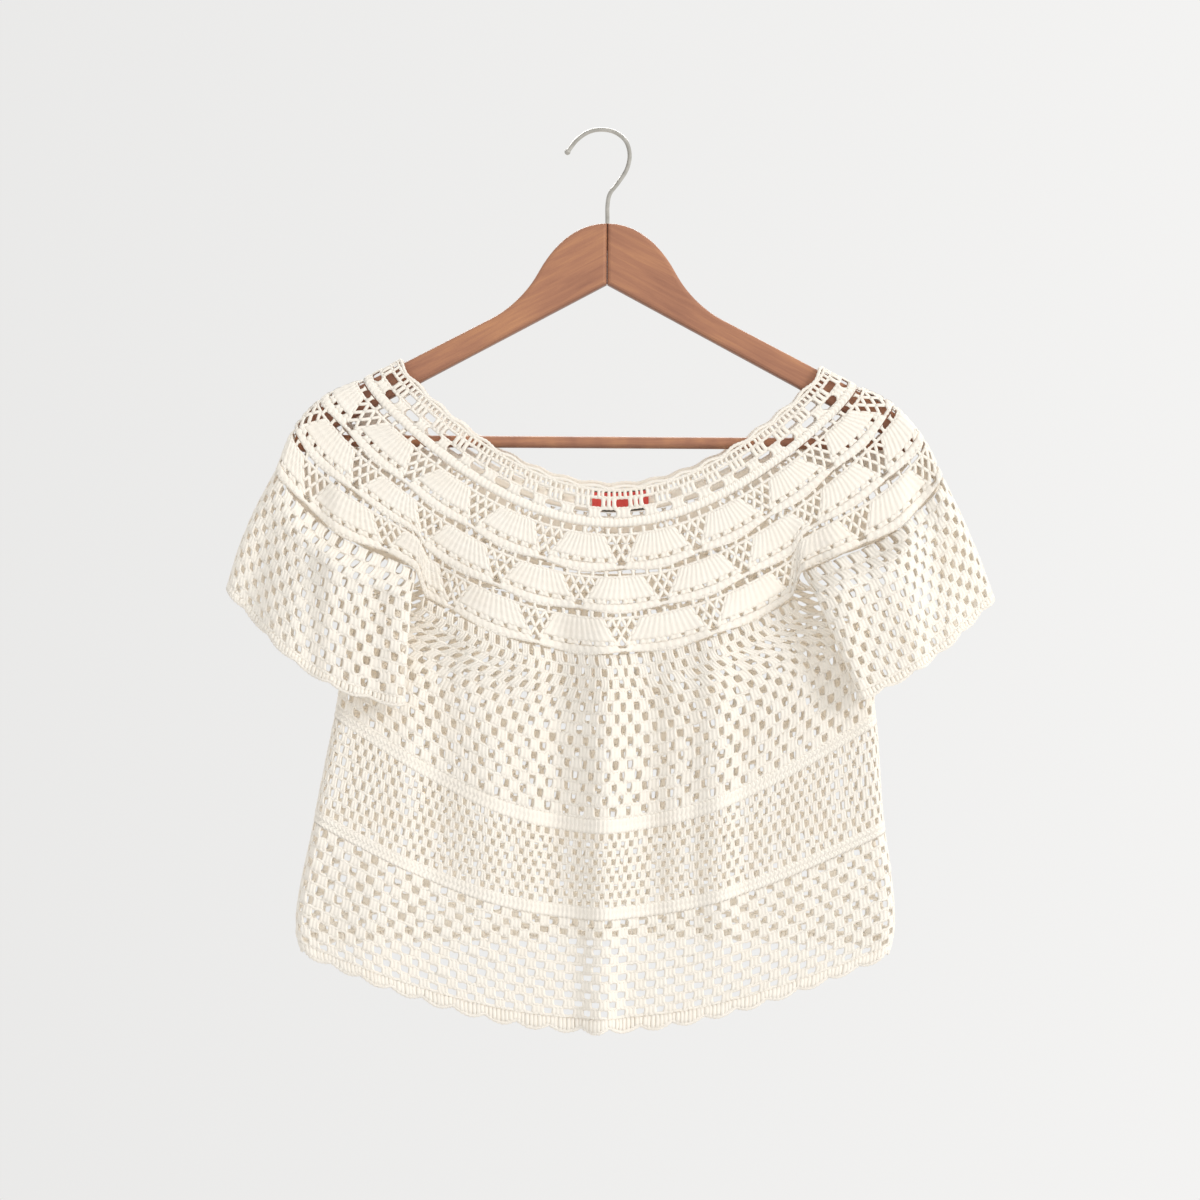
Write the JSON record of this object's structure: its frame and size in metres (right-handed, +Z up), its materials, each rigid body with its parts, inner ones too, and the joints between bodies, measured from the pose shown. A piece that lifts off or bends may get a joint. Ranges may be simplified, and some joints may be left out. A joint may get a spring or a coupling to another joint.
{
  "type": "cropped open-knit sweater on a wooden clothes hanger",
  "caption": "Short-sleeved open crochet top with a round lace yoke, hanging on a contoured wooden hanger with a trouser bar and wire hook.",
  "frame": {"origin": "inside top of the hook's crown, where a rail carries it", "axes": "+Z up along the hook's stem, +X to the right as seen from the front, -Y the front of the garment"},
  "size_m": [0.542, 0.0699, 0.6356],
  "materials": {
    "crochet_cotton": "soft matt mercerised cotton yarn",
    "label": "woven satin ribbon",
    "hanger_wood": "satin lacquer",
    "hook_chrome": "polished"
  },
  "bodies": {
    "root": {"neck_edging_front": "crochet_cotton", "neck_edging_back": "crochet_cotton", "neckband_front": "crochet_cotton", "neckband_back": "crochet_cotton", "yoke_front": "crochet_cotton", "yoke_back": "crochet_cotton", "upper_body_front": "crochet_cotton", "upper_body_back": "crochet_cotton", "waist_front": "crochet_cotton", "waist_back": "crochet_cotton", "hem_panel_front": "crochet_cotton", "hem_panel_back": "crochet_cotton", "hem_edging_front": "crochet_cotton", "hem_edging_back": "crochet_cotton", "right_sleeve_front": "crochet_cotton", "right_sleeve_back": "crochet_cotton", "right_cuff_edging_front": "crochet_cotton", "right_cuff_edging_back": "crochet_cotton", "left_sleeve_front": "crochet_cotton", "left_sleeve_back": "crochet_cotton", "left_cuff_edging_front": "crochet_cotton", "left_cuff_edging_back": "crochet_cotton", "neck_label": "label", "hanger_arm_right": "hanger_wood", "hanger_arm_left": "hanger_wood", "hanger_bar": "hanger_wood", "hanger_hook": "hook_chrome"}
  },
  "joints": []
}
